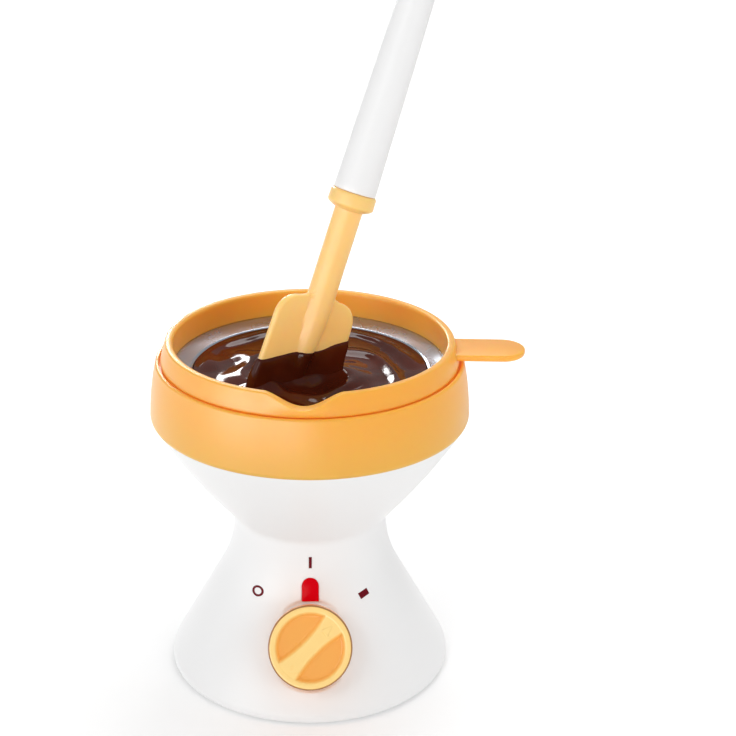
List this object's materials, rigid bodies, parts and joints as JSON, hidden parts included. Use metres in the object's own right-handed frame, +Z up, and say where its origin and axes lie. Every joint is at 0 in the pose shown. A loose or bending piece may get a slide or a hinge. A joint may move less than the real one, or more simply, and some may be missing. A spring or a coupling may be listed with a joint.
{
  "type": "electric chocolate fondue pot",
  "caption": "Electric fondue pot: white hourglass base with rotary switch, orange collar, lift-out melting pot with spout and tab, filled with chocolate, spatula standing in it.",
  "frame": {"origin": "on the table under the middle of the round base, at the level of the feet", "axes": "+Z up along the base's turning axis, -Y to the front with the knob and the pouring spout, +X towards the pot's handle tab"},
  "size_m": [0.1566, 0.1344, 0.3291],
  "materials": {
    "white_plastic": "satin-gloss moulded",
    "orange_plastic": "gloss moulded",
    "knob_plastic": "gloss moulded",
    "red_lens": "clear tinted lens",
    "bowl_steel": "polished",
    "chocolate": "wet gloss",
    "spatula_nylon": "satin moulded",
    "grip_plastic": "satin moulded",
    "grey_plastic": "moulded",
    "foot_rubber": "matte",
    "black_plastic": "moulded",
    "terminal_nylon": "moulded",
    "zinc_steel": "zinc plated",
    "contact_brass": "plain",
    "lamp_glass": "clear",
    "plate_aluminium": "cast and turned",
    "silicone": "matte",
    "element_steel": "oxidised",
    "phenolic": "moulded",
    "white_ceramic": "unglazed",
    "fuse_metal": "tinned",
    "brown_lead": "flexible insulation",
    "blue_lead": "flexible insulation",
    "green_lead": "flexible insulation"
  },
  "bodies": {
    "base": {"base_housing": "white_plastic", "upper_shell": "white_plastic", "collar": "orange_plastic", "bottom_cover": "grey_plastic", "foot_1": "foot_rubber", "foot_2": "foot_rubber", "foot_3": "foot_rubber", "foot_4": "foot_rubber", "bottom_screws": "zinc_steel", "cord_gland": "grey_plastic", "cord_clamp": "grey_plastic", "cord_clamp_screws": "zinc_steel", "terminal_block": "terminal_nylon", "terminal_screws": "zinc_steel", "switch_body": "black_plastic", "switch_nut": "zinc_steel", "switch_terminals": "contact_brass", "indicator_lens": "red_lens", "lamp_holder": "black_plastic", "neon_lamp": "lamp_glass", "support_ring": "plate_aluminium", "support_screws": "zinc_steel", "plate_gasket": "silicone", "heating_plate": "plate_aluminium", "heating_element": "element_steel", "element_terminals": "contact_brass", "thermostat": "phenolic", "thermostat_bracket": "zinc_steel", "thermostat_screws": "zinc_steel", "thermal_fuse": "fuse_metal", "fuse_holder": "white_ceramic", "heat_shield": "plate_aluminium", "shield_standoffs": "zinc_steel", "live_lead": "brown_lead", "neutral_lead": "blue_lead", "earth_lead": "green_lead"},
    "rotary_knob": {"knob": "knob_plastic", "knob_clip": "zinc_steel", "switch_shaft": "zinc_steel", "switch_rotor": "black_plastic"},
    "melting_pot": {"pot_ring": "orange_plastic", "pot_bowl": "bowl_steel", "melted_chocolate": "chocolate"},
    "spatula": {"spatula_head": "spatula_nylon", "spatula_handle": "grip_plastic"}
  },
  "joints": [
    {"name": "knob_turn", "type": "hinge", "parent": "base", "child": "rotary_knob", "pos_m": [0, -0.04668, 0.0298], "axis": [0, -0.8771, 0.4804], "range_deg": [0, 90]},
    {"name": "pot_lift", "type": "slide", "parent": "base", "child": "melting_pot", "axis": [0, 0, 1], "range_m": [0, 0.06]},
    {"name": "spatula_pull", "type": "slide", "parent": "melting_pot", "child": "spatula", "axis": [0.3009, 0.2006, 0.9323], "range_m": [0, 0.1]}
  ]
}
